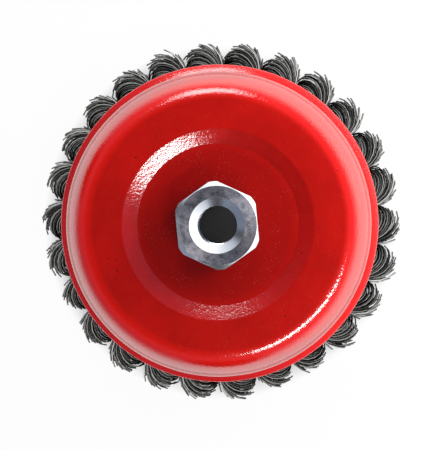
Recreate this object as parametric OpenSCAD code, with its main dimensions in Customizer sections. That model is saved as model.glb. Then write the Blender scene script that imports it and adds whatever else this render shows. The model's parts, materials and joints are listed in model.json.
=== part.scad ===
// Cup-shaped wire brush with twisted knots. Z points up, the wire tips stand on z = 0,
// and the axis of rotation is the Z axis. All lengths are in millimetres.

/* [Brush] */
// Diameter over the wire tips
brush_d = 125; // [120:1:130]
// Length of wire that stands out below the lip of the cup
trim_length = 28; // [25:1:34]
// Number of knots around the holder
knots = 26; // [22:1:28]
// Angle of the first knot, counter-clockwise from the X axis
first_knot_angle = -1; // [-7:1:7]

/* [Pressed cup] */
// Outside diameter of the skirt
cup_d = 96; // [92:1:98]
// Height of the cup from the edge of the lip to the flat top
cup_h = 22; // [20.5:0.5:26]
// Thickness of the cup sheet
cup_t = 1.5; // [1.2:0.1:2]
// Radius of the shoulder on its outer face
shoulder_r = 9; // [6:0.5:10]
// Width of the flat ring between the shoulder and the recess around the nut
top_land = 9.25; // [8.25:0.25:10.5]
// How far the wall of the recess runs inwards on its way down
recess_run = 4.75; // [4:0.25:6]
// Depth of the recess
recess_depth = 1.4; // [1.2:0.1:2]
// Bend radius at the foot and at the rim of the recess
recess_bend = 2; // [1.5:0.25:2.5]
// How far the lip stands out past the skirt
lip_reach = 3.6; // [3.4:0.1:4.5]
// Slope of the lip below the horizontal
lip_slope = 15; // [0:1:20]
// Bend radius between the skirt and the lip
lip_bend = 2.7; // [2:0.1:2.8]

/* [Hub nut] */
// Width across the flats of the hexagon
nut_af = 24; // [22:1:27]
// Diameter to which the corners of the hexagon are turned down
nut_corner_d = 26.4; // [25.5:0.1:27.5]
// Height of the hexagon above the floor of the recess
nut_h = 13.4; // [12:0.1:20]
// Angle of a corner of the hexagon, counter-clockwise from the X axis
nut_angle = 35.5; // [0:0.5:60]
// Diameter of the bore, the minor diameter of its M14 x 2 thread
bore_d = 11.835; // [11.8:0.005:12.2]
// Outer diameter of the countersink at the mouth of the bore
countersink_d = 16.7; // [15:0.1:18]
// Outer diameter of the chamfer at the lower mouth of the bore
lower_mouth_d = 14; // [12.5:0.1:15]
// Share of the width across flats that the flat end face keeps inside its chamfer
face_share = 0.985; // [0.94:0.005:0.99]
// Diameter of the shank below the hexagon
shank_d = 19; // [18:0.5:20]
// Diameter of the peened collar at the foot of the shank
peen_d = 23; // [22:0.5:25]
// Height of the peened collar
peen_h = 1.6; // [1:0.1:2]

/* [Clamp washer] */
// Outer diameter of the washer
washer_d = 36; // [28:1:44]
// Thickness of the washer
washer_t = 2; // [1.5:0.1:3]
// Radial clearance of the cup, the holder and the washer on the shank
shank_gap = 0.1; // [0.05:0.05:0.2]

/* [Knot holder] */
// Thickness of the holder sheet
holder_t = 1.5; // [1.2:0.1:1.8]
// Length of the conical wall that carries the knots
holder_wall = 10; // [9.75:0.25:11]
// Bend radius of the holder sheet
holder_bend = 2; // [1.5:0.1:2]
// Width of the strip between a knot hole and the edge of the wall
edge_strip = 2.2; // [1.8:0.1:2.4]
// Radial clearance of a wire bundle in its hole
hole_gap = 0.6; // [0.4:0.1:0.7]

/* [Knots] */
// Diameter of the wire bundle where it is folded through its hole
bundle_d = 4.8; // [4.4:0.1:5]
// Diameter of a twisted knot where it passes the lip of the cup
waist_d = 8.8; // [8.2:0.1:9]
// Turn of the twist from the root of a knot to its tips
knot_twist = 370; // [300:10:420]
// Clearance between a wire bundle and the faces of the holder wall
bundle_gap = 0.3; // [0.2:0.05:0.4]
// Clearance between the knots, and between a knot and the lip
knot_gap = 0.3; // [0.2:0.05:0.6]
// How far the tips of a drawn-in knot stay back
draw_in = 1.2; // [0:0.1:2]
// Depth of the groove between the two plies at the tips, as a share of the radius
tip_groove = 0.1; // [0.05:0.01:0.2]
// Depth of the groove between the two plies at the root, as a share of the radius
root_groove = 0.5; // [0.3:0.05:0.55]
// Depth of the furrows between the wire strands, as a share of the radius
furrow = 0.07; // [0.03:0.01:0.1]

/* [Hidden] */
$fn = 96;

// Heights, from the wire tips up to the end face of the nut
top_z = trim_length + cup_h;
floor_z = top_z - recess_depth;
nut_top_z = floor_z + nut_h;
holder_top_z = floor_z - cup_t;
washer_top_z = holder_top_z - holder_t;
washer_low_z = washer_top_z - washer_t;
hub_low_z = washer_low_z - peen_h;

// Radii of the skirt, and the point on its inner face where the lip bends away
skirt_r = cup_d / 2 - cup_t / 2;
skirt_inner_r = cup_d / 2 - cup_t;
lip_inner_bend = lip_bend + cup_t / 2;

// The lip slopes down from its fold to its cut edge
lip_end_r = cup_d / 2 + lip_reach - cup_t / 2 * sin(lip_slope);
lip_end_z = trim_length + cup_t / 2 * cos(lip_slope);
lip_fold_z = lip_end_z + (lip_end_r - skirt_r) * tan(lip_slope);
waist_z = lip_fold_z + lip_bend * tan((90 - lip_slope) / 2);

// Radii of the recess at its rim and at its floor
recess_rim_r = cup_d / 2 - shoulder_r - top_land;
recess_floor_r = recess_rim_r - recess_run;

// A knot is round at its tips and fills its share of the circle there
brush_r = brush_d / 2;
half_pitch = sin(180 / knots);
tip_r = (brush_r * half_pitch - knot_gap / 2) / (1 + half_pitch);
tip_centre_r = brush_r - tip_r;

// The outer side of a knot runs from the tips to the inside of the lip, which it only just clears
lip_centre = [skirt_inner_r + lip_inner_bend, waist_z];
lip_distance = norm(lip_centre - [brush_r, 0]);
outer_slope = atan2(brush_r - lip_centre[0], waist_z) + asin((lip_inner_bend + knot_gap) / lip_distance);
waist_r = waist_d / 2;
waist_centre_r = brush_r - waist_z * tan(outer_slope) - waist_r;
splay = atan2(tip_centre_r - waist_centre_r, waist_z);

// The holder wall lies on the axis of the knots, and its sheet nests under that of the cup
nest_gap = (cup_t + holder_t) / 2;
recess_slope = atan2(recess_depth, recess_run);
nest_shift = nest_gap * tan(recess_slope / 2);
rim_bend = max(recess_bend - nest_gap, holder_t);
holder_high_z = top_z - cup_t - holder_t / 2;
holder_edge_z = holder_high_z - holder_wall * cos(splay);
holder_edge_r = waist_centre_r - (holder_edge_z - waist_z) * tan(splay);

// Its corner keeps clear of the recess by the bends between them, and its wall leans from there to the edge
corner_room = rim_bend * tan(recess_slope / 2) + holder_bend;
holder_corner_r = max(
    holder_edge_r - holder_wall * sin(splay),
    recess_rim_r + nest_shift + corner_room
);
wall_lean = atan2(holder_edge_r - holder_corner_r, holder_high_z - holder_edge_z);

// The loop of a bundle rests on the strip of wall between its hole and the edge
bundle_r = bundle_d / 2;
hole_r = bundle_r + hole_gap;
hole_up = edge_strip + hole_r;
corner_gap = 0.05;
loop_inner_r = holder_t / 2 + bundle_gap;
loop_r = loop_inner_r + bundle_r;
loop_up = edge_strip + corner_gap - sqrt(pow(loop_inner_r, 2) - pow(holder_t / 2, 2));

// The two legs of the loop meet in the root of the twisted rope, just under the edge of the wall
root_drop = 0.5;
leg_cover = 0.2;
root_z = holder_edge_z - holder_t / 2 * sin(wall_lean) - root_drop;
root_r = (loop_r + bundle_r) / cos(wall_lean) + leg_cover;

// Fineness of the rope and of the bends
rope_rings = 12;
rope_points = 16;
bend_step = 9;

// Knots whose tips were drawn in, and how much narrower those are
drawn_in = ["knot_16", "knot_22", "knot_23"];
drawn_share = 0.92;

// How much the other knots differ from each other in width and in twist, and the angles per knot
// that spread those differences around the ring
width_spread = 0.015;
twist_spread = 25;
width_step = 137;
twist_step = 222;

// How far a cut reaches past the faces that it goes through
over = 1;

function two_digits(i) = str(i < 10 ? "0" : "", i);
function knot_name(i) = str("knot_", two_digits(i));

// Heading of the stretch between two points of a path, and the turn at its corner i
function heading(a, b) = atan2(b[1] - a[1], b[0] - a[0]);
function turn_at(path, i) =
    let (turn = heading(path[i], path[i + 1]) - heading(path[i - 1], path[i]))
    turn > 180 ? turn - 360 : turn < -180 ? turn + 360 : turn;

// Points of corner i with its bend, each as [x, y, heading]
function bend(path, i, r) =
    let (
        start = heading(path[i - 1], path[i]),
        turn = turn_at(path, i),
        side = sign(turn),
        back = r * tan(abs(turn) / 2),
        foot = path[i] - back * [cos(start), sin(start)],
        centre = foot + side * r * [-sin(start), cos(start)],
        steps = max(2, ceil(abs(turn) / bend_step))
    )
    [for (k = [0:steps])
        let (h = start + turn * k / steps)
        concat(centre - side * r * [-sin(h), cos(h)], [h])
    ];

// Middle line of a bent sheet, each point as [x, y, heading]
function middle_line(path, bends) =
    let (last = len(path) - 1)
    concat(
        [concat(path[0], [heading(path[0], path[1])])],
        [for (i = [1:last - 1]) each bend(path, i, bends[i - 1])],
        [concat(path[last], [heading(path[last - 1], path[last])])]
    );

function beside(p, d) = [p[0] - d * sin(p[2]), p[1] + d * cos(p[2])];

// Section of a sheet of thickness t that is bent along a path
module sheet_section(path, bends, t) {
    line = middle_line(path, bends);
    polygon(concat(
        [for (p = line) beside(p, t / 2)],
        [for (i = [len(line) - 1:-1:0]) beside(line[i], -t / 2)]
    ));
}

module cup_shell() {
    path = [
        [shank_d / 2 + shank_gap, floor_z - cup_t / 2],
        [recess_floor_r, floor_z - cup_t / 2],
        [recess_rim_r, top_z - cup_t / 2],
        [skirt_r, top_z - cup_t / 2],
        [skirt_r, lip_fold_z],
        [lip_end_r, lip_end_z]
    ];
    bends = [recess_bend, recess_bend, shoulder_r - cup_t / 2, lip_bend];
    color("firebrick")
        rotate_extrude()
            sheet_section(path, bends, cup_t);
}

// Cone that opens from r at height z, by rise over its whole height h
module mouth(r, rise, z, h) {
    translate([0, 0, z])
        cylinder(r1 = r, r2 = r + rise, h = h);
}

module hub_nut() {
    bore_r = bore_d / 2;
    face_r = nut_af * face_share / 2;
    sink = (countersink_d - bore_d) / 2;
    lower_sink = (lower_mouth_d - bore_d) / 2;
    chamfer_angle = 30;
    color("lightslategray")
        difference() {
            union() {
                intersection() {
                    translate([0, 0, floor_z])
                        rotate([0, 0, nut_angle])
                            cylinder(r = nut_af / sqrt(3), h = nut_h, $fn = 6);
                    translate([0, 0, floor_z])
                        cylinder(d = nut_corner_d, h = nut_h);
                    translate([0, 0, floor_z])
                        cylinder(r1 = face_r + nut_h / tan(chamfer_angle), r2 = face_r, h = nut_h);
                }
                translate([0, 0, hub_low_z + peen_h / 2])
                    cylinder(d = shank_d, h = floor_z + over - hub_low_z - peen_h / 2);
                translate([0, 0, washer_low_z - peen_h / 2])
                    cylinder(d = peen_d, h = peen_h / 2);
                translate([0, 0, hub_low_z])
                    cylinder(d1 = shank_d - peen_h / 2, d2 = peen_d, h = peen_h / 2);
            }
            translate([0, 0, hub_low_z - over])
                cylinder(r = bore_r, h = nut_top_z - hub_low_z + 2 * over);
            mouth(bore_r, sink + over, nut_top_z - sink, sink + over);
            mirror([0, 0, 1])
                mouth(bore_r, lower_sink + over, -hub_low_z - lower_sink, lower_sink + over);
        }
}

module clamp_washer() {
    edge = 0.3;
    inner_r = shank_d / 2 + shank_gap;
    outer_r = washer_d / 2;
    color("gray")
        rotate_extrude()
            polygon([
                [inner_r, washer_low_z],
                [outer_r - edge, washer_low_z],
                [outer_r, washer_low_z + edge],
                [outer_r, washer_top_z],
                [inner_r, washer_top_z]
            ]);
}

// Places its children on the edge of the holder wall, with X square to the wall and Z up along it
module at_wall_edge() {
    translate([holder_edge_r, 0, holder_edge_z])
        rotate([0, -wall_lean, 0])
            children();
}

module knot_holder() {
    plate_z = holder_top_z - holder_t / 2;
    path = [
        [shank_d / 2 + shank_gap, plate_z],
        [recess_floor_r + nest_shift, plate_z],
        [recess_rim_r + nest_shift, holder_high_z],
        [holder_corner_r, holder_high_z],
        [holder_edge_r, holder_edge_z]
    ];
    bends = [recess_bend + nest_gap, rim_bend, holder_bend];
    reach = 2 * holder_t;
    color("silver")
        difference() {
            rotate_extrude()
                sheet_section(path, bends, holder_t);
            for (i = [0:knots - 1])
                rotate([0, 0, first_knot_angle + i * 360 / knots])
                    at_wall_edge()
                        translate([-reach, 0, hole_up])
                            rotate([0, 90, 0])
                                cylinder(r = hole_r, h = 2 * reach);
        }
}

// Radius of the rope over its crests at a height, narrow where it passes the lip
function crest_r(z, end_r) =
    z > waist_z
        ? waist_r + (root_r - waist_r) * pow((z - waist_z) / (root_z - waist_z), 2)
        : end_r + (waist_r - end_r) * z / waist_z;

// Distance of the middle of the rope from the brush axis at a height
function rope_r(z, end_centre_r) =
    z > waist_z
        ? waist_centre_r - (z - waist_z) * tan(splay)
        : end_centre_r + (waist_centre_r - end_centre_r) * z / waist_z;

// Section of the rope in its own turning frame: two plies with a groove between them, and furrows
function section_share(j, groove) =
    (1 - groove * pow(sin(j * 360 / rope_points), 4)) * (1 - furrow * (j % 2));

function rope_ring(k, twist, end_r, end_centre_r) =
    let (
        down = k / (rope_rings - 1),
        z = root_z * (1 - down),
        groove = tip_groove + (root_groove - tip_groove) * pow(1 - down, 2),
        r = crest_r(z, end_r)
    )
    [for (j = [0:rope_points - 1])
        let (a = twist * down + j * 360 / rope_points, s = r * section_share(j, groove))
        [rope_r(z, end_centre_r) + s * cos(a), s * sin(a), z]
    ];

module rope(twist, end_r, end_centre_r) {
    n = rope_points;
    last = rope_rings - 1;
    points = concat(
        [for (k = [0:last]) each rope_ring(k, twist, end_r, end_centre_r)],
        [[rope_r(root_z, end_centre_r), 0, root_z], [end_centre_r, 0, 0]]
    );
    top_middle = rope_rings * n;
    tip_middle = top_middle + 1;
    sides = [for (k = [0:last - 1], j = [0:n - 1])
        let (a = k * n + j, b = k * n + (j + 1) % n)
        each [[a, b, b + n], [a, b + n, a + n]]
    ];
    ends = [for (j = [0:n - 1])
        let (next = (j + 1) % n)
        each [[top_middle, next, j], [tip_middle, last * n + j, last * n + next]]
    ];
    polyhedron(points, concat(sides, ends));
}

// The folded bundle: half a ring through the hole, and a straight leg on either side of the wall
module loop() {
    leg_h = holder_wall;
    big = 4 * leg_h;
    difference() {
        at_wall_edge()
            translate([0, 0, loop_up]) {
                rotate([90, 0, 0])
                    rotate_extrude(angle = 180)
                        translate([loop_r, 0])
                            circle(r = bundle_r);
                for (side = [-1, 1])
                    translate([side * loop_r, 0, 0])
                        mirror([0, 0, 1])
                            cylinder(r = bundle_r, h = leg_h);
            }
        translate([holder_edge_r - big / 2, -big / 2, root_z - leg_cover - big])
            cube(big);
    }
}

// Knot i: the loop around the holder wall and the twisted, flared rope that hangs from it
module knot(i) {
    is_drawn = len([for (name = drawn_in) if (name == knot_name(i)) i]) > 0;
    end_r = tip_r * (is_drawn ? drawn_share : 1 - width_spread * (1 + sin(width_step * i)));
    end_centre_r = tip_centre_r - (is_drawn ? draw_in : 0) + (tip_r - end_r) / 2;
    twist = knot_twist + twist_spread * sin(twist_step * i);
    color("dimgray")
        rotate([0, 0, first_knot_angle + (i - 1) * 360 / knots])
            union() {
                loop();
                rope(twist, end_r, end_centre_r);
            }
}

cup_shell();
hub_nut();
knot_holder();
clamp_washer();
for (i = [1:knots])
    knot(i);
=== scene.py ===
import json
import math

import bmesh
import bpy
import numpy as np
from bpy.props import FloatProperty, FloatVectorProperty, IntProperty, PointerProperty
from mathutils import Matrix, Vector


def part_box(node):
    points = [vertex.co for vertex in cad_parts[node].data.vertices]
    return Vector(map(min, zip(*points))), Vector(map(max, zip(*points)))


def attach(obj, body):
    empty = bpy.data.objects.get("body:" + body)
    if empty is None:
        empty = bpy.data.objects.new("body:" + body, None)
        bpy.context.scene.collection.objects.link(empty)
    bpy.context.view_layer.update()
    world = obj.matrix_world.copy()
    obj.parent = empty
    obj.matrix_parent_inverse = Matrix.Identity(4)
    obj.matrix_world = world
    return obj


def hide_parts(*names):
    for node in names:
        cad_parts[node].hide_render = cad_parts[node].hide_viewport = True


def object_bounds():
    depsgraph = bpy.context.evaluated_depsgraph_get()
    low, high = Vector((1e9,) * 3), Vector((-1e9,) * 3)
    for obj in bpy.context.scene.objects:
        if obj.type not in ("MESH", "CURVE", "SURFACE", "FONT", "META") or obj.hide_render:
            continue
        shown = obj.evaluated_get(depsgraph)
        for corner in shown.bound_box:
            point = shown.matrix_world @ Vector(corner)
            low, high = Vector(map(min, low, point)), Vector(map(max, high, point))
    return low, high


bl_info = {
    "name": "Knotted Wire Cup Brush",
    "version": (1, 0, 0),
    "blender": (4, 5, 0),
    "location": "3D View > Sidebar > Brush",
    "description": "Dresses a packed cup brush with red paint, zinc, steel wire and a studio",
    "category": "Object",
}

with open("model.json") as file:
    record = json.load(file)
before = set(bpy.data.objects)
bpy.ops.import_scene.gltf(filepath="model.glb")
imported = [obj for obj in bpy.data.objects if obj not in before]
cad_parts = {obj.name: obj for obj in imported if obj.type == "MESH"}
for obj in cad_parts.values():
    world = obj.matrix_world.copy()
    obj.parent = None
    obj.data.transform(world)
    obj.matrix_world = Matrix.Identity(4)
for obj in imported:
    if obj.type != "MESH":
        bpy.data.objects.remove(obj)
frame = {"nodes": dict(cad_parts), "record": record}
CAD_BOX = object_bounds()
MM = 0.001

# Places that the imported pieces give
CUP_LOW, CUP_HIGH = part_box("cup_shell")
NUT_LOW, NUT_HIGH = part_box("hub_nut")
HOLDER_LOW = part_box("knot_holder")[0]
KNOT_NODES = sorted(n for n in frame["nodes"] if n.startswith("knot_") and n != "knot_holder")
SPINDLE = next(m for m in frame["record"]["mounts"] if m["name"] == "spindle_thread")
BORE_RADIUS = SPINDLE["dims"]["r_mm"] * MM


class CupSizes(bpy.types.PropertyGroup):
    """Sizes and colour of the pressed cup."""

    sheet: FloatProperty(
        name="Sheet", description="Thickness of the cup sheet", default=1.5 * MM, unit="LENGTH")
    lip_reach: FloatProperty(
        name="Lip reach", description="How far the lip stands out past the skirt",
        default=3.6 * MM, unit="LENGTH")
    lip_slope: FloatProperty(
        name="Lip slope", description="Slope of the lip below the horizontal",
        default=math.radians(15), subtype="ANGLE")
    lip_bend: FloatProperty(
        name="Lip bend", description="Bend radius between the skirt and the lip",
        default=2.7 * MM, unit="LENGTH")
    edge_round: FloatProperty(
        name="Edge rounding", description="Radius on the cut edge of the lip",
        default=0.3 * MM, unit="LENGTH")
    shoulder: FloatProperty(
        name="Shoulder", description="Radius of the shoulder on its outer face",
        default=9 * MM, unit="LENGTH")
    top_land: FloatProperty(
        name="Top land", description="Width of the flat ring between the shoulder and the recess",
        default=9.25 * MM, unit="LENGTH")
    recess_run: FloatProperty(
        name="Recess run", description="How far the wall of the recess runs inwards",
        default=4.75 * MM, unit="LENGTH")
    recess_depth: FloatProperty(
        name="Recess depth", description="Depth of the recess around the nut",
        default=1.4 * MM, unit="LENGTH")
    recess_bend: FloatProperty(
        name="Recess bend", description="Bend radius at the foot and the rim of the recess",
        default=2 * MM, unit="LENGTH")
    shank_hole: FloatProperty(
        name="Shank hole", description="Radius of the hole for the shank of the nut",
        default=9.6 * MM, unit="LENGTH")
    paint: FloatVectorProperty(
        name="Paint", description="Colour of the enamel",
        default=(0.57, 0.007, 0.0035), subtype="COLOR", min=0, max=1)

    def lip_end(self):
        """Radius and height of the middle of the cut edge of the lip."""
        half = self.sheet / 2
        return CUP_HIGH.x - half * math.sin(self.lip_slope), CUP_LOW.z + half * math.cos(self.lip_slope)

    def skirt(self):
        """Radius of the middle of the skirt."""
        return CUP_HIGH.x - self.lip_reach - self.sheet / 2

    def lip_fold(self):
        """Height at which the lines of the skirt and the lip meet."""
        end_r, end_z = self.lip_end()
        return end_z + (end_r - self.skirt()) * math.tan(self.lip_slope)

    def waist(self):
        """Height at which the skirt bends away into the lip."""
        return self.lip_fold() + self.lip_bend * math.tan((math.pi / 2 - self.lip_slope) / 2)


class NutSizes(bpy.types.PropertyGroup):
    """Sizes and colour of the hub nut."""

    across_flats: FloatProperty(
        name="Across flats", description="Width across the flats of the hexagon",
        default=24 * MM, unit="LENGTH")
    hex_height: FloatProperty(
        name="Hexagon height", description="Height of the hexagon above the recess floor",
        default=13.4 * MM, unit="LENGTH")
    corner_angle: FloatProperty(
        name="Corner angle", description="Angle of a corner from the X axis",
        default=math.radians(35.5), subtype="ANGLE")
    corner_radius: FloatProperty(
        name="Corner radius", description="Radius to which the corners are turned down",
        default=13.2 * MM, unit="LENGTH")
    face_radius: FloatProperty(
        name="Face radius", description="Radius of the flat end face inside its chamfer",
        default=11.82 * MM, unit="LENGTH")
    countersink: FloatProperty(
        name="Countersink", description="Radius of the countersink at the mouth of the bore",
        default=8.35 * MM, unit="LENGTH")
    lower_mouth: FloatProperty(
        name="Lower mouth", description="Radius of the chamfer at the lower mouth",
        default=7 * MM, unit="LENGTH")
    shank: FloatProperty(
        name="Shank", description="Radius of the shank below the hexagon", default=9.5 * MM, unit="LENGTH")
    peen: FloatProperty(
        name="Peened collar", description="Radius of the peened collar", default=11.5 * MM, unit="LENGTH")
    peen_height: FloatProperty(
        name="Peened height", description="Height of the peened collar", default=1.6 * MM, unit="LENGTH")
    thread_pitch: FloatProperty(
        name="Thread pitch", description="Pitch of the spindle thread", default=2 * MM, unit="LENGTH")
    thread_depth: FloatProperty(
        name="Thread depth", description="Radial depth of the thread", default=1.05 * MM, unit="LENGTH")
    zinc: FloatVectorProperty(
        name="Zinc", description="Colour of the plating",
        default=(0.46, 0.45, 0.51), subtype="COLOR", min=0, max=1)


class KnotSizes(bpy.types.PropertyGroup):
    """Sizes of the twisted wire knots."""

    wire: FloatProperty(
        name="Wire", description="Diameter of one wire", default=0.5 * MM, unit="LENGTH")
    wires: IntProperty(
        name="Wires", description="Wires in a bundle, each folded once", default=64, min=8, max=100)
    bundle: FloatProperty(
        name="Bundle", description="Radius of the folded bundle", default=2.4 * MM, unit="LENGTH")
    loop: FloatProperty(
        name="Loop", description="Radius of the middle of the loop", default=3.45 * MM, unit="LENGTH")
    waist: FloatProperty(
        name="Waist", description="Radius of a knot where it passes the lip",
        default=4.4 * MM, unit="LENGTH")
    twist: FloatProperty(
        name="Twist", description="Turn of a knot from its root to its tips",
        default=math.radians(370), subtype="ANGLE")
    gap: FloatProperty(
        name="Gap", description="Clearance between neighbouring knots", default=0.3 * MM, unit="LENGTH")
    brush_radius: FloatProperty(
        name="Brush radius", description="Radius of the brush over its wire tips",
        default=62.5 * MM, unit="LENGTH")
    flare: FloatProperty(
        name="Flare", description="How much the tips spread past the packed knot, as a share", default=0.1)
    stray_reach: FloatProperty(
        name="Stray reach", description="How far a stray wire may stand out past the brush radius",
        default=1.8 * MM, unit="LENGTH")
    drawn_in: FloatProperty(
        name="Drawn in", description="How far the tips of a drawn-in knot stay back",
        default=1.2 * MM, unit="LENGTH")
    steel: FloatVectorProperty(
        name="Steel", description="Colour of the wire",
        default=(0.58, 0.575, 0.555), subtype="COLOR", min=0, max=1)


class StudioSizes(bpy.types.PropertyGroup):
    """Camera, lamps and ground."""

    eye: FloatVectorProperty(
        name="Eye", description="Place of the camera",
        default=(8 * MM, 7 * MM, 410 * MM), subtype="TRANSLATION", unit="LENGTH")
    aim: FloatVectorProperty(
        name="Aim", description="Point that the camera looks at",
        default=(0.15 * MM, 0.18 * MM, 62 * MM), subtype="TRANSLATION", unit="LENGTH")
    focal_share: FloatProperty(
        name="Focal share", description="Focal length as a share of the height of the picture",
        default=2.607)
    horizon: FloatProperty(
        name="Horizon", description="Strength of the light from low down all round", default=2.2)
    upper: FloatProperty(
        name="Upper part", description="Strength of the light from the upper part of the tent",
        default=0.18)
    zenith: FloatProperty(
        name="Zenith", description="Strength of the light from straight above", default=0.03)
    tent_lean: FloatProperty(
        name="Tent lean", description="How far the tent leans over",
        default=math.radians(13), subtype="ANGLE")
    tent_side: FloatProperty(
        name="Tent side", description="Side on which the tent reaches higher",
        default=math.radians(30), subtype="ANGLE")
    matt_share: FloatProperty(
        name="Matt share", description="Share of the tent's light that falls on matt surfaces",
        default=0.47)
    ground: FloatProperty(
        name="Ground", description="Radius of the white ground under the brush",
        default=130 * MM, unit="LENGTH")


# Mesh making

def new_piece(name, verts, faces):
    """A smooth mesh object in the scene, with its place in its mesh."""
    mesh = bpy.data.meshes.new(name)
    mesh.from_pydata(verts, [], faces)
    mesh.polygons.foreach_set("use_smooth", [True] * len(mesh.polygons))
    mesh.validate()
    mesh.update()
    piece = bpy.data.objects.new(name, mesh)
    bpy.context.scene.collection.objects.link(piece)
    return piece


def around(columns):
    """Evenly spaced angles of a full turn."""
    return [2 * math.pi * c / columns for c in range(columns)]


def heading(a, b):
    """Direction of the line from one point to another."""
    return math.atan2(b[1] - a[1], b[0] - a[0])


def bent_line(path, bends, step=math.radians(3)):
    """Middle line of a bent sheet: a list of (r, z, heading) along a path with its corners rounded."""
    line = [(*path[0], heading(path[0], path[1]))]
    for i, radius in enumerate(bends, start=1):
        start = heading(path[i - 1], path[i])
        turn = (heading(path[i], path[i + 1]) - start + math.pi) % (2 * math.pi) - math.pi
        side = math.copysign(1, turn)
        back = radius * math.tan(abs(turn) / 2)
        foot = (path[i][0] - back * math.cos(start), path[i][1] - back * math.sin(start))
        centre = (foot[0] - side * radius * math.sin(start), foot[1] + side * radius * math.cos(start))
        steps = max(2, math.ceil(abs(turn) / step))
        for k in range(steps + 1):
            h = start + turn * k / steps
            line.append((centre[0] + side * radius * math.sin(h), centre[1] - side * radius * math.cos(h), h))
    line.append((*path[-1], heading(path[-2], path[-1])))
    return line


def beside(line, distance):
    """Points at a distance to the left of a line."""
    return [(r - distance * math.sin(h), z + distance * math.cos(h)) for r, z, h in line]


def revolve(name, section, columns):
    """A closed ring-shaped piece from a closed section of (r, z) points."""
    verts = [(r * math.cos(a), r * math.sin(a), z) for a in around(columns) for r, z in section]
    n = len(section)
    faces = [
        (c * n + k, (c + 1) % columns * n + k, (c + 1) % columns * n + (k + 1) % n, c * n + (k + 1) % n)
        for c in range(columns)
        for k in range(n)
    ]
    return new_piece(name, verts, faces)


def weld(piece, reach=0.02 * MM):
    """Joins the points of a piece that lie in one place, and drops the empty faces between them."""
    mesh = bmesh.new()
    mesh.from_mesh(piece.data)
    bmesh.ops.remove_doubles(mesh, verts=mesh.verts, dist=reach)
    mesh.to_mesh(piece.data)
    mesh.free()


def sharpen(piece, angle):
    """Keeps edges sharper than an angle crisp under smooth shading."""
    piece.data.set_sharp_from_angle(angle=angle)


# Material nodes

def node_material(name):
    """A new material with its node tree and its shader."""
    material = bpy.data.materials.new(name)
    material.use_nodes = True
    tree = material.node_tree
    return material, tree, tree.nodes["Principled BSDF"]


def feed(tree, sockets, values):
    """Links each of the sockets to another node's output, or sets it to a plain value."""
    for name, value in values.items():
        if isinstance(value, bpy.types.NodeSocket):
            tree.links.new(value, sockets[name])
        else:
            sockets[name].default_value = value


def add_node(tree, kind, output, values=None, **settings):
    """Adds a node with its settings and what feeds it, and gives one of its outputs."""
    node = tree.nodes.new(kind)
    for name, value in settings.items():
        setattr(node, name, value)
    feed(tree, node.inputs, values or {})
    return node.outputs[output]


def own_place(tree):
    """The place of a point in the piece's own coordinates."""
    return add_node(tree, "ShaderNodeTexCoord", "Object")


def component(tree, axis, vector):
    """The X, Y or Z component of a vector."""
    return add_node(tree, "ShaderNodeSeparateXYZ", axis, {"Vector": vector})


def vector_math(tree, operation, output, *vectors):
    """A sum over whole vectors, whose result is a vector or a value."""
    return add_node(tree, "ShaderNodeVectorMath", output, dict(enumerate(vectors)), operation=operation)


def calculate(tree, operation, a, b):
    """A sum over two values, either of them fixed or from another node."""
    return add_node(tree, "ShaderNodeMath", "Value", {0: a, 1: b}, operation=operation)


def times(tree, a, b):
    """The product of two values."""
    return calculate(tree, "MULTIPLY", a, b)


def noise(tree, scale, detail, roughness=0.55):
    """Noise over the piece, between 0 and 1."""
    values = {"Vector": own_place(tree), "Scale": scale, "Detail": detail, "Roughness": roughness}
    return add_node(tree, "ShaderNodeTexNoise", "Fac", values)


def specks(tree, scale, size):
    """1 inside small round specks scattered over the piece, 0 elsewhere."""
    values = {"Vector": own_place(tree), "Scale": scale}
    return calculate(tree, "LESS_THAN", add_node(tree, "ShaderNodeTexVoronoi", "Distance", values), size)


def axis_distance(tree):
    """Distance of a point from the brush axis."""
    flat = vector_math(tree, "MULTIPLY", "Vector", own_place(tree), (1, 1, 0))
    return vector_math(tree, "LENGTH", "Value", flat)


def ramp(tree, source, low, high, at_low=0, at_high=1, smooth=False):
    """Maps source from low..high onto at_low..at_high, and holds it there beyond both ends."""
    values = {"Value": source, "From Min": low, "From Max": high, "To Min": at_low, "To Max": at_high}
    way = "SMOOTHSTEP" if smooth else "LINEAR"
    return add_node(tree, "ShaderNodeMapRange", "Result", values, interpolation_type=way)


def mix_colour(tree, share, a, b):
    """Colour a where the share is 0 and colour b where it is 1."""
    first, second = (c if isinstance(c, bpy.types.NodeSocket) else (*c, 1) for c in (a, b))
    return add_node(tree, "ShaderNodeMix", 2, {0: share, 6: first, 7: second}, data_type="RGBA")


def bumped(tree, height, strength, depth, base=None):
    """The normal of a surface with a fine relief on it, over a base normal where one is given."""
    values = {"Height": height, "Strength": strength, "Distance": depth}
    if base is not None:
        values["Normal"] = base
    return add_node(tree, "ShaderNodeBump", "Normal", values)


def toned(colour, share):
    """A colour made darker or lighter."""
    return tuple(share * c for c in colour)


# Materials

# Distances from the brush axis at which the cup's painted shade in the recess and its painted light on the
# shoulder and on the lip begin and are complete
RECESS = (27 * MM, 22 * MM)
SHOULDER_INSIDE = (38.5 * MM, 41.5 * MM)
SHOULDER_OUTSIDE = (45.5 * MM, 42.5 * MM)
LIP = (47.5 * MM, 49 * MM)
DUST = (0.7, 0.3, 0.28)
BARE_NICK = (0.06, 0.004, 0.004)

# Distances from the axis within which the reflections are lifted, on the countersink of the nut
LIFTED = (9.5 * MM, 9 * MM)
# Base colours of the nut's upright flats, painted dark as shade, and of its chamfers and countersink, painted
# bright as light
FLAT_SHADE_GREY = (0.2, 0.2, 0.22)
CHAMFER_LIGHT_GREY = (0.84, 0.84, 0.84)

HOLDER_GREY = (0.34, 0.34, 0.35)
WASHER_GREY = (0.45, 0.45, 0.46)

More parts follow.
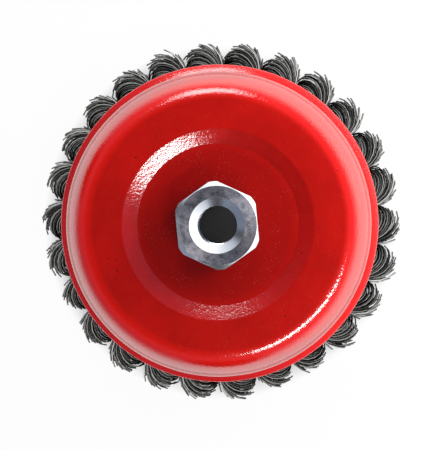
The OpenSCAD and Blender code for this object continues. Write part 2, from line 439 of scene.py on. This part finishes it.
# Heights, going down, at which the painted highlight of the tips begins and is full, and at which the painted
# shade towards the cup starts to lift and is gone
TIP_HIGHLIGHT = (7 * MM, 1 * MM)
CUP_SHADE = (15 * MM, 5 * MM)


def red_enamel(paint):
    """Glossy sprayed enamel: faint cloudiness, orange peel, pale dust and a few dark nicks, with painted
    shade in the recess and painted light along the shoulder and on the lip.
    """
    material, tree, shader = node_material("red_enamel")
    radius = axis_distance(tree)
    cloud = ramp(tree, noise(tree, scale=60, detail=4), 0.35, 0.65)
    colour = mix_colour(tree, cloud, toned(paint, 0.8), paint)
    # Painted shade darkens the recess round the nut, where more dust also lies, and painted light brightens
    # the shoulder and the lip
    recess = ramp(tree, radius, *RECESS)
    # Painted shade: the recess round the nut is darkened
    colour = mix_colour(tree, times(tree, recess, 0.8), colour, toned(paint, 0.6))
    # Painted light: the shoulder band and the lip are brightened
    shoulder = times(tree, ramp(tree, radius, *SHOULDER_INSIDE), ramp(tree, radius, *SHOULDER_OUTSIDE))
    painted_light_band = calculate(tree, "MAXIMUM", shoulder, ramp(tree, radius, *LIP))
    colour = mix_colour(tree, painted_light_band, colour, toned(paint, 1.6))
    dusty = ramp(tree, noise(tree, scale=220, detail=2), 0.44, 0.6)
    dust = times(tree, specks(tree, scale=1400, size=0.14), dusty)
    colour = mix_colour(tree, times(tree, dust, ramp(tree, recess, 0, 1, 0.14, 0.3)), colour, DUST)
    knocked = ramp(tree, noise(tree, scale=90, detail=2), 0.6, 0.62)
    nicks = times(tree, specks(tree, scale=420, size=0.12), knocked)
    colour = mix_colour(tree, times(tree, nicks, 0.8), colour, BARE_NICK)
    peel = times(tree, noise(tree, scale=350, detail=2), 0.8)
    relief = calculate(tree, "ADD", noise(tree, scale=1700, detail=1), peel)
    feed(tree, shader.inputs, {
        "Base Color": colour,
        "Roughness": ramp(tree, noise(tree, scale=400, detail=3), 0, 1, 0.06, 0.18),
        "IOR": 1.58,
        "Specular IOR Level": 1,
        "Normal": bumped(tree, relief, strength=0.45, depth=0.08 * MM),
    })
    return material


def zinc_plate(zinc):
    """Turned and plated steel: cloudy patches, fine pitting and the radial sheen of a lathe finish, with
    painted shade on the upright flats and painted light on the chamfers and the countersink.
    """
    material, tree, shader = node_material("zinc_plate")
    warm = (1.15 * zinc[0], 1.05 * zinc[1], 0.95 * zinc[2])
    cloud = ramp(tree, noise(tree, scale=560, detail=5, roughness=0.7), 0.38, 0.56)
    pits = ramp(tree, noise(tree, scale=3600, detail=2), 0.42, 0.58, 0.3, 1)
    colour = mix_colour(tree, times(tree, cloud, pits), toned(zinc, 0.32), zinc)
    colour = mix_colour(tree, ramp(tree, noise(tree, scale=300, detail=3), 0.5, 0.75), colour, warm)
    # Painted shade and light by slope: the upright flats are painted dark as shade, the countersink and the
    # chamfers bright as light, and the level end face keeps the plated colour and is dull
    normal = add_node(tree, "ShaderNodeNewGeometry", "Normal")
    rise = component(tree, "Z", normal)
    level = ramp(tree, rise, 0.9, 0.98)
    # Painted shade on the upright flats and painted light on the sloping faces
    turned = mix_colour(tree, ramp(tree, rise, 0.1, 0.4), FLAT_SHADE_GREY, CHAMFER_LIGHT_GREY)
    # The fine turned grooves of the countersink throw its reflections upwards
    lift = ramp(tree, axis_distance(tree), *LIFTED, 0, 0.5)
    raised = vector_math(
        tree, "ADD", "Vector", normal, add_node(tree, "ShaderNodeCombineXYZ", "Vector", {"Z": lift}))
    straight = vector_math(tree, "NORMALIZE", "Vector", raised)
    pitting = noise(tree, scale=2200, detail=3)
    feed(tree, shader.inputs, {
        "Base Color": mix_colour(tree, level, turned, colour),
        "Metallic": 1,
        "Roughness": ramp(tree, level, 0, 1, 0.2, 0.46),
        "Anisotropic": 0.75,
        "Tangent": add_node(tree, "ShaderNodeTangent", "Tangent", direction_type="RADIAL", axis="Z"),
        "Normal": bumped(tree, pitting, strength=0.12, depth=0.05 * MM, base=straight),
    })
    return material


def plain_steel(name, tone, rough):
    """Pressed steel with rolling marks and patches of oil."""
    material, tree, shader = node_material(name)
    cloud = ramp(tree, noise(tree, scale=160, detail=5, roughness=0.6), 0.3, 0.7)
    feed(tree, shader.inputs, {
        "Base Color": mix_colour(tree, cloud, toned(tone, 0.6), tone),
        "Metallic": 1,
        "Roughness": ramp(tree, cloud, 0, 1, rough + 0.12, rough),
        "Normal": bumped(tree, noise(tree, scale=900, detail=3), strength=0.2, depth=0.1 * MM),
    })
    return material


def wire_steel(steel):
    """Drawn steel wire: most wires are dark with scale and some are rubbed bright, with painted shade between
    the wires and up towards the cup and a painted highlight at the tips.
    """
    material, tree, shader = node_material("wire_steel")
    # Each wire is an island of the mesh, with a tone of its own
    tone = add_node(tree, "ShaderNodeNewGeometry", "Random Per Island")
    bright = ramp(tree, tone, 0.15, 1)
    # Painted highlight at the tips, and painted shade further up towards the cup
    height = component(tree, "Z", own_place(tree))
    rubbed = times(tree, times(tree, bright, bright), ramp(tree, height, *CUP_SHADE, 0.4, 1))
    shine = calculate(tree, "MAXIMUM", rubbed, ramp(tree, height, *TIP_HIGHLIGHT, 0, 0.45))
    grey = mix_colour(tree, shine, toned(steel, 0.05), steel)
    # Painted shade: between the wires the colour is darkened nearly to black by an occlusion node
    air = add_node(tree, "ShaderNodeAmbientOcclusion", "AO", {"Distance": 3.5 * MM}, samples=6)
    feed(tree, shader.inputs, {
        "Base Color": mix_colour(tree, ramp(tree, air, 0.15, 0.7), toned(steel, 0.01), grey),
        "Metallic": 0.85,
        "Specular Tint": (0.38, 0.38, 0.38, 1),
        "Roughness": ramp(tree, tone, 0, 1, 0.3, 0.18),
    })
    return material


def dress(piece, material):
    """Gives a piece one material."""
    piece.data.materials.clear()
    piece.data.materials.append(material)


def dress_node(name, material):
    """Puts a material in a CAD node's own slots and leaves its mesh alone."""
    for place in frame["nodes"][name].material_slots:
        place.material = material


class BRUSH_OT_red_cup(bpy.types.Operator):
    """Make the red enamelled cup with its recess, shoulder and flared lip"""

    bl_idname = "brush.red_cup"
    bl_label = "Red Cup"

    COLUMNS = 320
    ROUND_STEPS = 4
    SHARP = math.radians(50)

    def cut_edge(self, s):
        """Points round the cut edge of the lip, from its upper to its lower face, both corners rounded."""
        end_r, end_z = s.lip_end()
        points = []
        for side, first in ((1, math.pi / 2), (-1, 0)):
            for k in range(self.ROUND_STEPS + 1):
                a = first - math.pi / 2 * k / self.ROUND_STEPS
                out = s.edge_round * (math.cos(a) - 1)
                up = side * (s.sheet / 2 - s.edge_round) + s.edge_round * math.sin(a)
                points.append((
                    end_r + out * math.cos(s.lip_slope) + up * math.sin(s.lip_slope),
                    end_z - out * math.sin(s.lip_slope) + up * math.cos(s.lip_slope),
                ))
        return points

    def execute(self, context):
        s = context.scene.brush_cup
        half = s.sheet / 2
        skirt_r = s.skirt()
        top_z = CUP_HIGH.z - half
        floor_z = top_z - s.recess_depth
        recess_rim = skirt_r + half - s.shoulder - s.top_land
        path = [
            (s.shank_hole, floor_z),
            (recess_rim - s.recess_run, floor_z),
            (recess_rim, top_z),
            (skirt_r, top_z),
            (skirt_r, s.lip_fold()),
            s.lip_end(),
        ]
        line = bent_line(path, [s.recess_bend, s.recess_bend, s.shoulder - half, s.lip_bend])
        section = beside(line, half)[:-1] + self.cut_edge(s) + beside(line, -half)[-2::-1]
        cup = revolve("red_cup", section[::-1], self.COLUMNS)
        sharpen(cup, self.SHARP)
        dress(cup, red_enamel(s.paint))
        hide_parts("cup_shell")
        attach(cup, "root")
        return {"FINISHED"}


class BRUSH_OT_hub_nut(bpy.types.Operator):
    """Make the zinc plated hexagon nut with its chamfers and its internal thread"""

    bl_idname = "brush.hub_nut"
    bl_label = "Hub Nut"

    COLUMNS = 192
    STEPS_PER_TURN = 12
    CHAMFER = math.radians(30)
    SHARP = math.radians(20)
    # The groove of the thread is cut full depth over the middle of its pitch, between sloping sides
    GROOVE_TOP = 1.35
    GROOVE_SIDES = 4.2
    # Share of a pitch in which the groove runs out at each end
    RUN_OUT = 0.4

    def outside(self, s, a):
        """Points of the nut's section at an angle, from its lower mouth up to its countersink."""
        from_flat = (a + math.pi / 6) % (math.pi / 3) - math.pi / 6
        hexagon = min(s.corner_radius, s.across_flats / 2 / math.cos(from_flat))
        break_z = NUT_HIGH.z - (hexagon - s.face_radius) * math.tan(self.CHAMFER)
        hex_foot = NUT_HIGH.z - s.hex_height
        return [
            (s.lower_mouth, NUT_LOW.z),
            (s.shank - s.peen_height / 4, NUT_LOW.z),
            (s.peen, NUT_LOW.z + s.peen_height / 2),
            (s.peen, NUT_LOW.z + s.peen_height),
            (s.shank, NUT_LOW.z + s.peen_height),
            (s.shank, hex_foot),
            (hexagon, hex_foot),
            (hexagon, break_z),
            (s.face_radius, NUT_HIGH.z),
            (s.countersink, NUT_HIGH.z),
        ]

    def bore(self, s, a, low, high, rows):
        """Points of the nut's section at an angle, down its threaded bore."""
        run_out = self.RUN_OUT * s.thread_pitch
        points = []
        for k in range(rows + 1):
            drop = k / self.STEPS_PER_TURN * s.thread_pitch - a / (2 * math.pi) * s.thread_pitch
            z = min(max(high - drop, low), high)
            phase = k % self.STEPS_PER_TURN / self.STEPS_PER_TURN
            groove = min(1, max(0, self.GROOVE_TOP - self.GROOVE_SIDES * abs(phase - 0.5)))
            near_end = min(1, (high - z) / run_out, (z - low) / run_out)
            points.append((BORE_RADIUS + s.thread_depth * groove * near_end, z))
        return points

    def execute(self, context):
        s = context.scene.brush_nut
        high = NUT_HIGH.z - (s.countersink - BORE_RADIUS)
        low = NUT_LOW.z + (s.lower_mouth - BORE_RADIUS)
        rows = math.ceil((high - low) / s.thread_pitch + 1) * self.STEPS_PER_TURN
        verts = []
        for a in around(self.COLUMNS):
            section = [(BORE_RADIUS, low)] + self.outside(s, a) + self.bore(s, a, low, high, rows)
            # The corner at 30 degrees is turned to its place
            turn = a + s.corner_angle - math.pi / 6
            verts += [(r * math.cos(turn), r * math.sin(turn), z) for r, z in section]
        n = len(section)
        first_row = n - rows - 1
        # After one lap, the thread has climbed by one pitch
        lap = [k if k < first_row else max(first_row, k - self.STEPS_PER_TURN) for k in range(n)]
        faces = []
        for c in range(self.COLUMNS):
            here, there = c * n, (c + 1) % self.COLUMNS * n
            across = lap if c == self.COLUMNS - 1 else range(n)
            for k in range(n):
                up = (k + 1) % n
                faces.append((here + k, there + across[k], there + across[up], here + up))
        nut = new_piece("hub_nut_threaded", verts, faces)
        weld(nut)
        sharpen(nut, self.SHARP)
        dress(nut, zinc_plate(s.zinc))
        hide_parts("hub_nut")
        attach(nut, "root")
        return {"FINISHED"}


class BRUSH_OT_steel_plates(bpy.types.Operator):
    """Give the knot holder and the clamp washer their plain steel finish"""

    bl_idname = "brush.steel_plates"
    bl_label = "Steel Plates"

    def execute(self, context):
        dress_node("knot_holder", plain_steel("holder_steel", HOLDER_GREY, 0.36))
        dress_node("clamp_washer", plain_steel("washer_steel", WASHER_GREY, 0.3))
        return {"FINISHED"}


class WireKnots:
    """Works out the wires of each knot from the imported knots, the holder and the cup."""

    RINGS = 18
    LOOP_STEPS = 7
    SIDES = 5
    GOLDEN_ANGLE = math.pi * (3 - math.sqrt(5))
    # An even filling of the bundle has the power 0.5, and a lower one crowds the wires outwards
    FILLING = 0.44
    # The rope starts below the holder, and the loop stands above the edge of the holder's wall
    ROOT_DROP = 0.5 * MM
    LOOP_LIFT = 1.5 * MM
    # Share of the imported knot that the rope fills, and share of its length that the legs take to meet
    ROPE_SHARE = 0.985
    LEG_SHARE = 0.22
    # How unevenly the wires end, and how far one turns by itself at its tip and along it, in radians
    TIP_SPREAD = 1.3 * MM
    LOOSE_TURN = 0.12
    UNEVEN_TURN = 0.04
    # How far a tip strays, and how many times as far a few of them do
    STRAY = 0.25 * MM
    FAR_STRAY = 3.5

    def __init__(self, sizes, cup):
        self.s = s = sizes
        self.brush_r = s.brush_radius
        self.box_x = min(-CAD_BOX[0][0], CAD_BOX[1][0])
        self.box_y = min(-CAD_BOX[0][1], CAD_BOX[1][1])
        half_pitch = math.sin(math.pi / len(KNOT_NODES))
        self.tip_r = (self.brush_r * half_pitch - s.gap / 2) / (1 + half_pitch)
        self.tip_centre_r = self.brush_r - self.tip_r
        # The outer side of a knot clears the inner face of the lip's bend by the gap
        self.waist_z = cup.waist()
        bend_r = cup.lip_bend + cup.sheet / 2
        past_bend = self.brush_r - (cup.skirt() + cup.lip_bend)
        away = math.hypot(past_bend, self.waist_z)
        slope = math.atan2(past_bend, self.waist_z) + math.asin((bend_r + s.gap) / away)
        self.waist_centre_r = self.brush_r - self.waist_z * math.tan(slope) - s.waist
        self.splay = math.atan2(self.tip_centre_r - self.waist_centre_r, self.waist_z)
        self.edge_z = HOLDER_LOW.z + cup.sheet / 2 * math.sin(self.splay)
        self.edge_r = self.waist_centre_r - (self.edge_z - self.waist_z) * math.tan(self.splay)
        self.root_z = HOLDER_LOW.z - self.ROOT_DROP
        self.root_r = (s.loop + s.bundle) / math.cos(self.splay)

    def axis_r(self, z, tip_centre):
        """Distance of a rope's middle line from the brush axis."""
        above = self.waist_centre_r - (z - self.waist_z) * math.tan(self.splay)
        below = tip_centre + (self.waist_centre_r - tip_centre) * z / self.waist_z
        return np.where(z > self.waist_z, above, below)

    def crest_r(self, z, tip):
        """Radius of a rope over its plies."""
        up = np.clip((z - self.waist_z) / (self.root_z - self.waist_z), 0, 1)
        above = self.s.waist + (self.root_r - self.s.waist) * up ** 2
        below = tip + (self.s.waist - tip) * z / self.waist_z
        return np.where(z > self.waist_z, above, below)

    def ply(self, side, share, spin, knot, rng):
        """Middle points of one ply of every wire, from the root down to the tips."""
        s = self.s
        wires = len(share)
        down = np.linspace(0, 1, self.RINGS)[None, :]
        tip_z = rng.uniform(0, self.TIP_SPREAD, wires)
        z = self.root_z + (tip_z[:, None] - self.root_z) * down
        # In the turning frame, the round bundle of a leg spreads into half of the rope
        leg_x = (s.loop + s.bundle * share * np.cos(spin))[:, None] / math.cos(self.splay)
        leg_y = (s.bundle * share * np.sin(spin))[:, None]
        reach = share[:, None] * self.crest_r(z, knot["tip"]) * (self.ROPE_SHARE + s.flare * down ** 3)
        rope_x = reach * np.cos(spin / 2)[:, None]
        rope_y = reach * np.sin(spin / 2)[:, None]
        blend = np.clip(down / self.LEG_SHARE, 0, 1)
        blend = blend * blend * (3 - 2 * blend)
        x = side * (leg_x + (rope_x - leg_x) * blend)
        y = side * (leg_y + (rope_y - leg_y) * blend)
        loose = self.LOOSE_TURN * rng.normal(0, 1, (wires, 1))
        uneven = rng.normal(0, self.UNEVEN_TURN, (wires, 1))
        turn = knot["twist"] * down + loose * down ** 3 + uneven * down
        # Tips stray a little from the twist, and a few of them a lot
        stray = rng.normal(0, self.STRAY, (wires, 2))
        far = rng.random(wires) < knot["loose"]
        stray[far] *= self.FAR_STRAY
        out = x * np.cos(turn) - y * np.sin(turn) + stray[:, :1] * down ** 4
        across = x * np.sin(turn) + y * np.cos(turn) + stray[:, 1:] * down ** 4
        return np.stack([self.axis_r(z, knot["centre"]) + out, across, z], axis=2)

    def loop(self, share, spin):
        """Middle points of every wire round the edge of the holder wall, from one leg to the other."""
        s = self.s
        angle = np.linspace(0, math.pi, self.LOOP_STEPS)[None, :]
        ring = (s.loop + s.bundle * share * np.cos(spin))[:, None]
        out = ring * np.cos(angle)
        up = self.LOOP_LIFT + ring * np.sin(angle)
        y = (s.bundle * share * np.sin(spin))[:, None] * np.cos(angle)
        cosine, sine = math.cos(self.splay), math.sin(self.splay)
        r = self.edge_r + out * cosine - up * sine
        z = self.edge_z + out * sine + up * cosine
        return np.stack([r, y, z], axis=2)

    def wires(self, knot, rng):
        """Middle points of each wire, from tip to tip over the holder."""
        count = self.s.wires
        k = np.arange(count)
        share = ((k + 0.5) / count) ** self.FILLING
        spin = (k * self.GOLDEN_ANGLE + math.pi) % (2 * math.pi) - math.pi
        near = self.ply(1, share, spin, knot, rng)
        far = self.ply(-1, share, spin, knot, rng)
        return np.concatenate([near[:, ::-1], self.loop(share, spin), far], axis=1)

    def kept_in(self, verts):
        """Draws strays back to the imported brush's own outline, and a little past it on the diagonals."""
        x, y = np.abs(verts[:, 0]), np.abs(verts[:, 1])
        share = np.minimum(self.box_x / np.maximum(x, MM), self.box_y / np.maximum(y, MM))
        share = np.minimum(share, (self.brush_r + self.s.stray_reach) / np.hypot(x, y))
        verts[:, :2] *= np.minimum(share, 1)[:, None]
        return verts

    def tubes(self, middle, angle):
        """Vertices and faces of a tube along each row of middle points, turned to a knot's place."""
        wires, points, _ = middle.shape
        along = np.gradient(middle, axis=1)
        along /= np.linalg.norm(along, axis=2, keepdims=True)
        side = np.cross(along, np.array([0.0, 1.0, 0.0]))
        side /= np.linalg.norm(side, axis=2, keepdims=True)
        other = np.cross(along, side)
        sides = self.SIDES
        a = np.array(around(sides))
        ring = side[:, :, None] * np.cos(a)[:, None] + other[:, :, None] * np.sin(a)[:, None]
        verts = (middle[:, :, None] + self.s.wire / 2 * ring).reshape(-1, 3)
        verts[:, 2] = np.maximum(verts[:, 2], 0)
        cosine, sine = math.cos(angle), math.sin(angle)
        verts = self.kept_in(verts @ np.array([[cosine, sine, 0], [-sine, cosine, 0], [0, 0, 1]]))
        quads = np.array([
            (i + j, i + (j + 1) % sides, i + sides + (j + 1) % sides, i + sides + j)
            for i in range(0, (points - 1) * sides, sides)
            for j in range(sides)
        ])
        size = points * sides
        starts = (np.arange(wires) * size)[:, None, None]
        faces = (quads[None] + starts).reshape(-1, 4).tolist()
        for w in range(wires):
            faces.append([w * size + v for v in reversed(range(sides))])
            faces.append([w * size + v for v in range(size - sides, size)])
        return verts, faces


class BRUSH_OT_wire_knots(bpy.types.Operator):
    """Make every twisted knot from its own folded steel wires"""

    bl_idname = "brush.wire_knots"
    bl_label = "Wire Knots"

    FIRST_ANGLE = math.radians(-1)
    SEED = 100
    # Knots that stay back, the share of the full radius that they have, and how many of their tips stray far
    DRAWN_IN = (16, 22, 23)
    DRAWN_SHARE = 0.92
    DRAWN_LOOSE = 0.1
    LOOSE = 0.04
    # The knots differ in width and in twist, in waves that do not repeat round the ring
    WIDTH_SWING = 0.015
    WIDTH_WAVE = math.radians(137)
    TWIST_SWING = math.radians(25)
    TWIST_WAVE = math.radians(222)

    def knot(self, s, layout, i):
        """Tip radius, place, twist and looseness of a knot."""
        drawn = i in self.DRAWN_IN
        slimming = self.WIDTH_SWING * (1 + math.sin(self.WIDTH_WAVE * i))
        tip = layout.tip_r * (self.DRAWN_SHARE if drawn else 1 - slimming)
        return {
            "tip": tip,
            "centre": layout.tip_centre_r - (s.drawn_in if drawn else 0) + (layout.tip_r - tip) / 2,
            "twist": s.twist + self.TWIST_SWING * math.sin(self.TWIST_WAVE * i),
            "loose": self.DRAWN_LOOSE if drawn else self.LOOSE,
        }

    def execute(self, context):
        s = context.scene.brush_knots
        layout = WireKnots(s, context.scene.brush_cup)
        material = wire_steel(s.steel)
        pitch = 2 * math.pi / len(KNOT_NODES)
        for i, node in enumerate(KNOT_NODES, start=1):
            rng = np.random.default_rng(self.SEED + i)
            middle = layout.wires(self.knot(s, layout, i), rng)
            verts, faces = layout.tubes(middle, self.FIRST_ANGLE + (i - 1) * pitch)
            wires = new_piece("wires_" + node[-2:], verts.tolist(), faces)
            dress(wires, material)
            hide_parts(node)
            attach(wires, "root")
        return {"FINISHED"}


def toward(azimuth, elevation):
    """Unit vector towards an azimuth and an elevation in degrees."""
    a, e = math.radians(azimuth), math.radians(elevation)
    return Vector((math.cos(a) * math.cos(e), math.sin(a) * math.cos(e), math.sin(e)))


# Each lamp's name, azimuth and elevation in degrees, distance and size in metres, radiance, and
# whether reflections show it
LAMPS = (
    ("key_softbox", 96, 53.5, 0.9, (0.28, 0.27), 6.2, True),
    ("strip_light", -52.5, 61.5, 0.9, (0.37, 0.08), 24, True),
    ("side_softbox", 28, 25, 0.25, (0.2, 0.13), 7.8, False),
)


class BRUSH_OT_studio(bpy.types.Operator):
    """Set up the pale ground, the lamps, the sky and the camera"""

    bl_idname = "brush.studio"
    bl_label = "Studio"

    GROUND_SIDES = 96
    GROUND_WHITE = (0.95, 0.95, 0.95, 1)
    # Distances from the brush axis between which the ground fades from shadowed to plain white
    GLOW = (50 * MM, 62 * MM)
    GLOW_SHARE = 0.96

    # Heights, as sines, at which the tent darkens, at which it is cut off and at which its blue sets in
    TENT = (0.1, 0.72)
    TENT_TOP = (0.84, 0.95)
    BLUE = (0.35, 0.7)
    WHITE = (1, 1, 1)
    COOL_BLUE = (0.5, 0.66, 1)
    # Azimuth, elevation and half angle of the dark cards that the corners of the nut reflect
    DARK_CARDS = ((-88, 28, 14), (158, 30, 11))
    CARD_LIGHT = 0.06
    CARD_BLUR = 0.3

    def ground(self, s):
        """A white ground that catches the brush's shadow and shows as plain white further out."""
        sides = self.GROUND_SIDES
        verts = [(0, 0, 0)] + [(s.ground * math.cos(a), s.ground * math.sin(a), 0) for a in around(sides)]
        floor = new_piece("studio_floor", verts, [(0, c + 1, (c + 1) % sides + 1) for c in range(sides)])
        material, tree, shader = node_material("studio_white")
        feed(tree, shader.inputs, {
            "Base Color": self.GROUND_WHITE,
            "Roughness": 0.9,
            "Specular IOR Level": 0,
        })
        outside = ramp(tree, axis_distance(tree), *self.GLOW)
        ray = tree.nodes.new("ShaderNodeLightPath").outputs
        seen = calculate(tree, "MAXIMUM", ray["Is Camera Ray"], ray["Is Glossy Ray"])
        share = times(tree, times(tree, outside, seen), self.GLOW_SHARE)
        glow = add_node(tree, "ShaderNodeEmission", "Emission", {"Color": (1, 1, 1, 1), "Strength": 1})
        matt = shader.outputs["BSDF"]
        mixed = add_node(tree, "ShaderNodeMixShader", "Shader", {0: share, 1: matt, 2: glow})
        tree.links.new(mixed, tree.nodes["Material Output"].inputs["Surface"])
        dress(floor, material)

    def sky(self, context, s):
        """A light tent: bright low down all round, dim overhead, and plain white where the camera sees it."""
        world = bpy.data.worlds.new("studio_sky")
        context.scene.world = world
        world.use_nodes = True
        tree = world.node_tree
        view = add_node(tree, "ShaderNodeTexCoord", "Generated")
        # The tent reaches higher on one side
        lean, side = s.tent_lean, s.tent_side
        top = (-math.sin(lean) * math.cos(side), -math.sin(lean) * math.sin(side), math.cos(lean))
        height = vector_math(tree, "DOT_PRODUCT", "Value", view, top)
        light = times(
            tree, ramp(tree, height, *self.TENT, s.horizon, s.upper, smooth=True),
            ramp(tree, height, *self.TENT_TOP, 1, s.zenith / s.upper))
        for azimuth, elevation, half_angle in self.DARK_CARDS:
            edge = math.cos(math.radians(half_angle))
            blur = self.CARD_BLUR * (1 - edge)
            nearness = vector_math(tree, "DOT_PRODUCT", "Value", view, toward(azimuth, elevation))
            light = times(tree, light, ramp(tree, nearness, edge + blur, edge - blur, self.CARD_LIGHT, 1))
        ray = tree.nodes.new("ShaderNodeLightPath").outputs
        strength = times(tree, light, ramp(tree, ray["Is Diffuse Ray"], 0, 1, 1, s.matt_share))
        # Overhead the room shows a cool blue, which only reflections and matt surfaces see
        unseen = calculate(tree, "SUBTRACT", 1, ray["Is Camera Ray"])
        blue = times(tree, ramp(tree, height, *self.BLUE), unseen)
        feed(tree, tree.nodes["Background"].inputs, {
            "Color": mix_colour(tree, blue, self.WHITE, self.COOL_BLUE),
            "Strength": add_node(tree, "ShaderNodeMix", 0, {0: ray["Is Camera Ray"], 2: strength, 3: 1}),
        })

    def lamp(self, context, name, azimuth, elevation, distance, size, radiance, in_gloss):
        """An area lamp of a given radiance, turned to the top of the cup."""
        light = bpy.data.lights.new(name, "AREA")
        light.shape = "RECTANGLE"
        light.size, light.size_y = size
        light.energy = radiance * math.pi * light.size * light.size_y
        lamp = bpy.data.objects.new(name, light)
        context.scene.collection.objects.link(lamp)
        back = toward(azimuth, elevation)
        lamp.location = Vector((0, 0, CUP_HIGH.z)) + distance * back
        lamp.rotation_euler = back.to_track_quat("Z", "Y").to_euler()
        lamp.visible_glossy = in_gloss

    def camera(self, context, s):
        """The camera above the brush, with the Y axis upright in its picture."""
        view = bpy.data.cameras.new("studio_camera")
        view.sensor_fit = "VERTICAL"
        view.lens = s.focal_share * view.sensor_height
        camera = bpy.data.objects.new("studio_camera", view)
        context.scene.collection.objects.link(camera)
        eye, aim = Vector(s.eye), Vector(s.aim)
        back = (eye - aim).normalized()
        right = Vector((0, 1, 0)).cross(back).normalized()
        up = back.cross(right)
        camera.matrix_world = Matrix.Translation(eye) @ Matrix((right, up, back)).transposed().to_4x4()
        context.scene.camera = camera

    def execute(self, context):
        s = context.scene.brush_studio
        self.ground(s)
        self.sky(context, s)
        for lamp in LAMPS:
            self.lamp(context, *lamp)
        self.camera(context, s)
        context.scene.view_settings.view_transform = "Standard"
        return {"FINISHED"}


class BRUSH_PT_panel(bpy.types.Panel):
    """Lists the steps that dress the brush"""

    bl_label = "Cup Brush"
    bl_idname = "BRUSH_PT_panel"
    bl_space_type = "VIEW_3D"
    bl_region_type = "UI"
    bl_category = "Brush"

    def draw(self, context):
        for step in STEPS:
            self.layout.operator(step.bl_idname)
        for group in GROUPS:
            sizes = getattr(context.scene, group)
            box = self.layout.box()
            for name in sizes.__annotations__:
                box.prop(sizes, name)


STEPS = (BRUSH_OT_red_cup, BRUSH_OT_hub_nut, BRUSH_OT_steel_plates, BRUSH_OT_wire_knots, BRUSH_OT_studio)
GROUPS = {"brush_cup": CupSizes, "brush_nut": NutSizes, "brush_knots": KnotSizes, "brush_studio": StudioSizes}
CLASSES = (*GROUPS.values(), *STEPS, BRUSH_PT_panel)


def register():
    for group in CLASSES:
        bpy.utils.register_class(group)
    for name, group in GROUPS.items():
        setattr(bpy.types.Scene, name, PointerProperty(type=group))


def unregister():
    for name in GROUPS:
        delattr(bpy.types.Scene, name)
    for group in reversed(CLASSES):
        bpy.utils.unregister_class(group)


def main():
    register()
    bpy.ops.brush.red_cup()
    bpy.ops.brush.hub_nut()
    bpy.ops.brush.steel_plates()
    bpy.ops.brush.wire_knots()
    bpy.ops.brush.studio()


if __name__ == "__main__":
    main()
